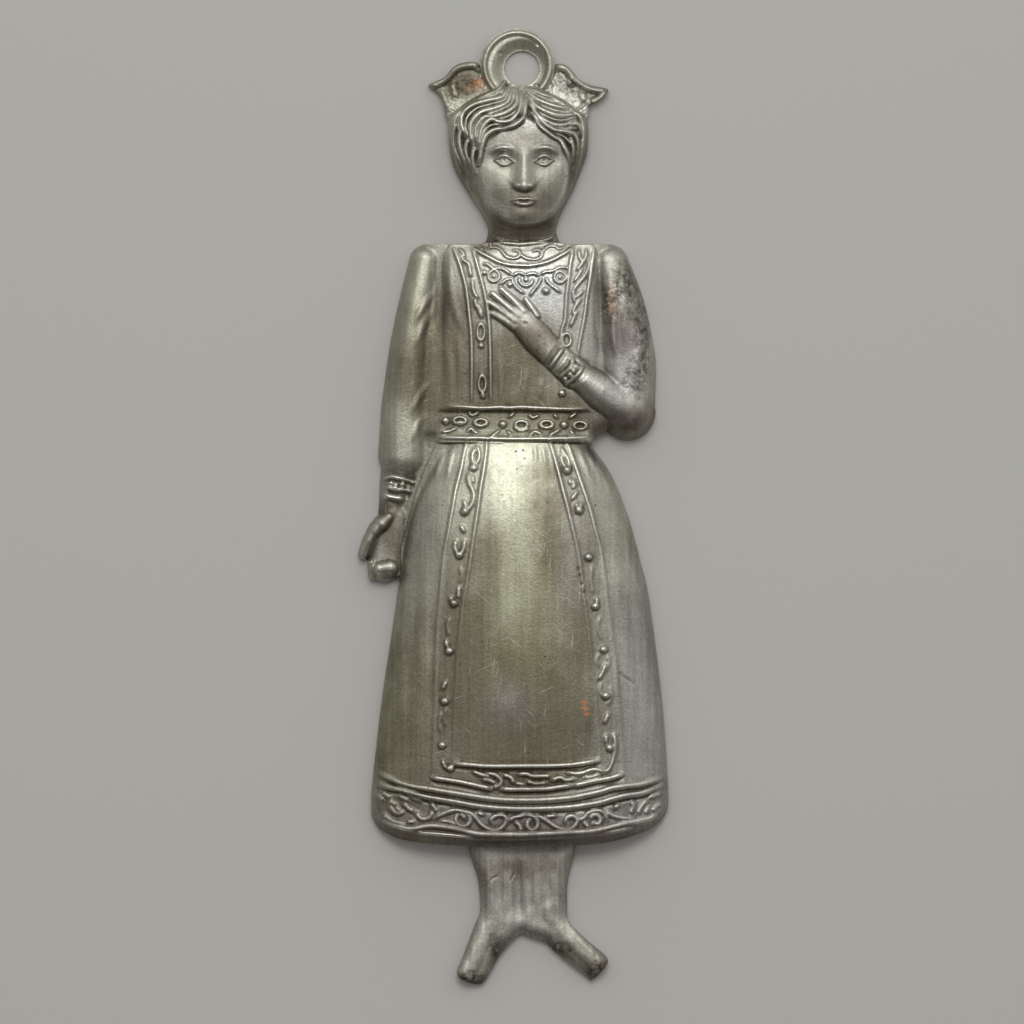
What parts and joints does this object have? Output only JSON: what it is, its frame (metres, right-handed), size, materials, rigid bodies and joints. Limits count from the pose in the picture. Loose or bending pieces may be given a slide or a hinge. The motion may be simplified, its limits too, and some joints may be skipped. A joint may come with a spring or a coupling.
{
  "type": "votive charm",
  "caption": "Milagro charm: a standing woman in an embossed apron dress, struck in thin plated sheet, hollow behind, with a soldered hanging loop.",
  "frame": {"origin": "centre of the hanging eye, on the back plane that the charm lies on", "axes": "+Z out of the relief, +Y up the figure towards the loop, +X to the right as seen from the front"},
  "size_m": [0.0442, 0.1351, 0.0078],
  "materials": {
    "plated_sheet": "aged silver plate over copper alloy, dark in the hollows and worn bright on the ridges",
    "solder": "dull grey hard solder"
  },
  "bodies": {
    "root": {"figure_shell": "plated_sheet", "hanging_loop": "plated_sheet", "left_bow_wing": "plated_sheet", "right_bow_wing": "plated_sheet", "leg_strip": "plated_sheet", "loop_solder": "solder", "bow_solder": "solder", "leg_solder": "solder"}
  },
  "joints": []
}
